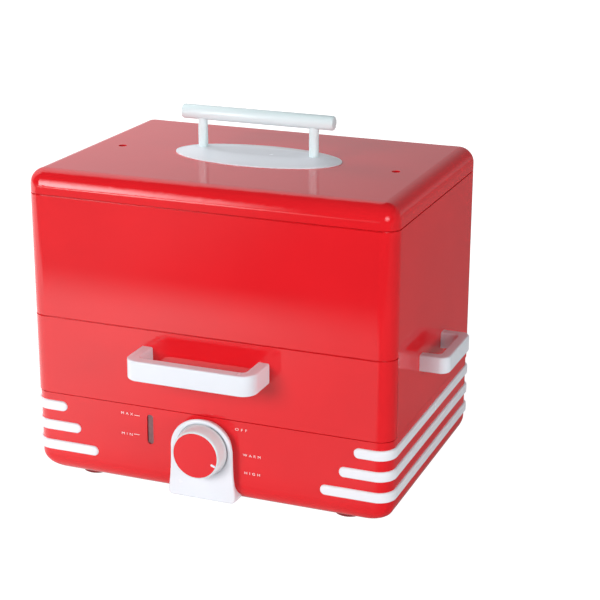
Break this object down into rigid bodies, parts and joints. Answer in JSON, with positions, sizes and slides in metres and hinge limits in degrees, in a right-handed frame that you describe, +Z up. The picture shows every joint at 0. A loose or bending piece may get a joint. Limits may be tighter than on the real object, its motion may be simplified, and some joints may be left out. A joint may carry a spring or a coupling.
{
  "type": "hot dog steamer",
  "caption": "Table-top hot dog steamer: water base with knob and sight window, lift-off housing with sliding front drawer, lift-off lid with bar handle.",
  "frame": {"origin": "middle of the whole object's box, on the surface that it stands on", "axes": "+X to the right seen from the front (the long way), -Y out of the front, +Z up"},
  "size_m": [0.351, 0.2522, 0.2952],
  "materials": {
    "red_shell": "polished red moulding",
    "white_plastic": "satin white moulding",
    "rubber": "matt black",
    "clear_window": "clear moulded lens",
    "tray_aluminium": "pressed sheet, satin",
    "cast_aluminium": "die cast",
    "zinc_steel": "zinc plated",
    "runner_plastic": "natural nylon",
    "black_moulding": "moulded phenolic"
  },
  "bodies": {
    "base": {"base_shell": "red_shell", "bottom_plate": "zinc_steel", "bottom_plate_screws": "zinc_steel", "cord_gland": "rubber", "foot_front_left": "rubber", "foot_front_right": "rubber", "foot_rear_left": "rubber", "foot_rear_right": "rubber", "foot_screws": "zinc_steel", "heater_clamp": "zinc_steel", "heater_clamp_screw": "zinc_steel", "heater_plate": "cast_aluminium", "heating_element": "zinc_steel", "knob_bezel": "white_plastic", "reservoir": "tray_aluminium", "terminal_block": "black_moulding", "thermal_fuse": "zinc_steel", "thermostat": "black_moulding", "thermostat_nut": "zinc_steel", "trim_strips_left": "white_plastic", "trim_strips_right": "white_plastic", "water_window": "clear_window", "window_gasket": "rubber"},
    "drip_tray": {"drip_tray": "tray_aluminium"},
    "housing": {"housing_shell": "red_shell", "side_handle_left": "white_plastic", "side_handle_right": "white_plastic", "side_handle_screws": "zinc_steel", "drawer_runner_left": "runner_plastic", "drawer_runner_right": "runner_plastic", "runner_screws": "zinc_steel"},
    "drawer": {"drawer_front": "red_shell", "drawer_tray": "tray_aluminium", "drawer_floor": "tray_aluminium", "drawer_divider": "tray_aluminium", "front_handle": "white_plastic", "front_handle_screws": "zinc_steel"},
    "lid": {"lid_shell": "red_shell", "lid_handle_plate": "white_plastic", "lid_handle_post_left": "white_plastic", "lid_handle_post_right": "white_plastic", "lid_handle_rod": "white_plastic", "lid_handle_screws": "zinc_steel"},
    "upper_tray": {"upper_tray": "tray_aluminium", "upper_tray_divider": "tray_aluminium"},
    "knob": {"knob_body": "white_plastic", "knob_face": "red_shell", "knob_pointer": "white_plastic", "knob_shaft": "zinc_steel"}
  },
  "joints": [
    {"name": "housing_lift", "type": "slide", "parent": "base", "child": "housing", "axis": [0, 0, 1], "range_m": [0, 0.12]},
    {"name": "drip_tray_lift", "type": "slide", "parent": "base", "child": "drip_tray", "axis": [0, 0, 1], "range_m": [0, 0.036]},
    {"name": "drawer_slide", "type": "slide", "parent": "housing", "child": "drawer", "axis": [0, -1, 0], "range_m": [0, 0.15]},
    {"name": "lid_lift", "type": "slide", "parent": "housing", "child": "lid", "axis": [0, 0, 1], "range_m": [0, 0.16]},
    {"name": "upper_tray_lift", "type": "slide", "parent": "housing", "child": "upper_tray", "axis": [0, 0, 1], "range_m": [0, 0.08]},
    {"name": "knob_turn", "type": "hinge", "parent": "base", "child": "knob", "pos_m": [0, -0.09945, 0.0478], "axis": [0, 1, 0], "range_deg": [-57, 6]}
  ],
  "couplings": [
    {"joint": "upper_tray_lift", "follows": "lid_lift", "ratio": 0.5},
    {"joint": "drip_tray_lift", "follows": "housing_lift", "ratio": 0.3}
  ]
}
